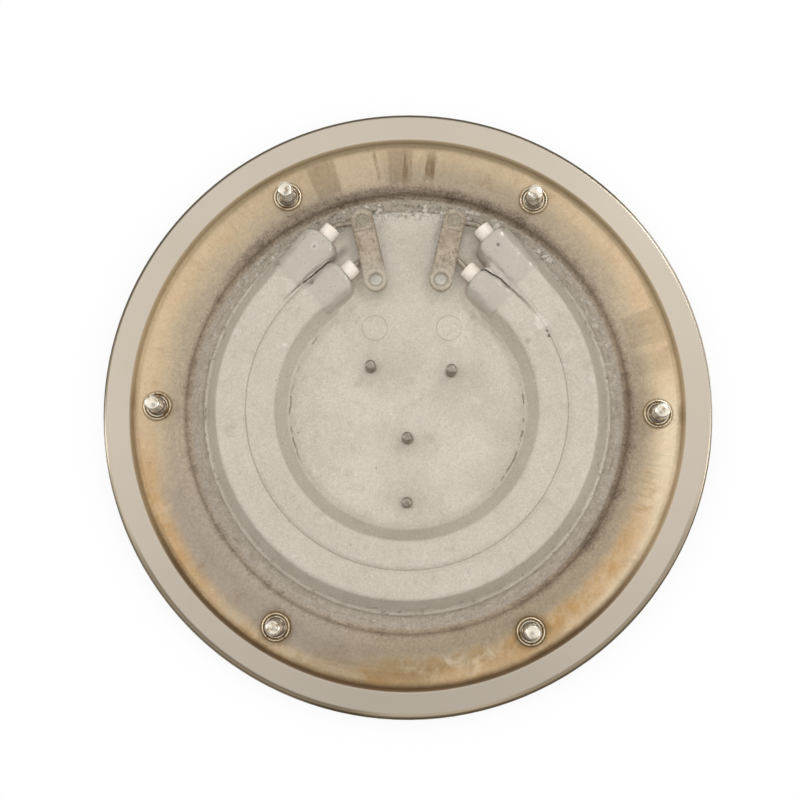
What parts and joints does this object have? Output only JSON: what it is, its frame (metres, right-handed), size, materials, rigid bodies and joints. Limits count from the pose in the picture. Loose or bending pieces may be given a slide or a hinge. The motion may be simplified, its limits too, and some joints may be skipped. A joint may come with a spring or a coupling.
{
  "type": "water boiler heating plate",
  "caption": "Round stainless pan with a cast aluminium heating plate, C-shaped tubular elements, terminal strips and studs on its dry side.",
  "frame": {"origin": "centre of the pan at the level of its lowest face, which is the wet side of the floor under the casting", "axes": "+Z out of the dry side along the studs, +Y towards the opening between the element ends, +X to the right seen from the dry side"},
  "size_m": [0.24, 0.24, 0.0165],
  "materials": {
    "pan_steel": "satin cold-rolled stainless sheet with heat tint in rings",
    "cast_alloy": "as-cast aluminium, slightly pitted",
    "sheath_steel": "drawn tube",
    "magnesia": "packed powder",
    "coil_wire": "resistance wire",
    "pin_steel": "dull, welded",
    "bead_ceramic": "unglazed, matt",
    "strip_steel": "mottled brown and beige from heat",
    "stud_steel": "bright plated thread",
    "collar_steel": "bright, tinted golden by the weld",
    "small_stud_steel": "dull grey"
  },
  "bodies": {
    "root": {"steel_pan": "pan_steel", "heat_plate": "cast_alloy", "outer_sheath": "sheath_steel", "inner_sheath": "sheath_steel", "outer_insulation": "magnesia", "inner_insulation": "magnesia", "outer_heating_coil": "coil_wire", "inner_heating_coil": "coil_wire", "outer_left_pin": "pin_steel", "outer_right_pin": "pin_steel", "inner_left_pin": "pin_steel", "inner_right_pin": "pin_steel", "outer_left_bead": "bead_ceramic", "outer_right_bead": "bead_ceramic", "inner_left_bead": "bead_ceramic", "inner_right_bead": "bead_ceramic", "left_terminal_strip": "strip_steel", "right_terminal_strip": "strip_steel", "mounting_studs": "stud_steel", "stud_collars": "collar_steel", "cutout_studs": "small_stud_steel", "earth_stud": "small_stud_steel"}
  },
  "joints": []
}
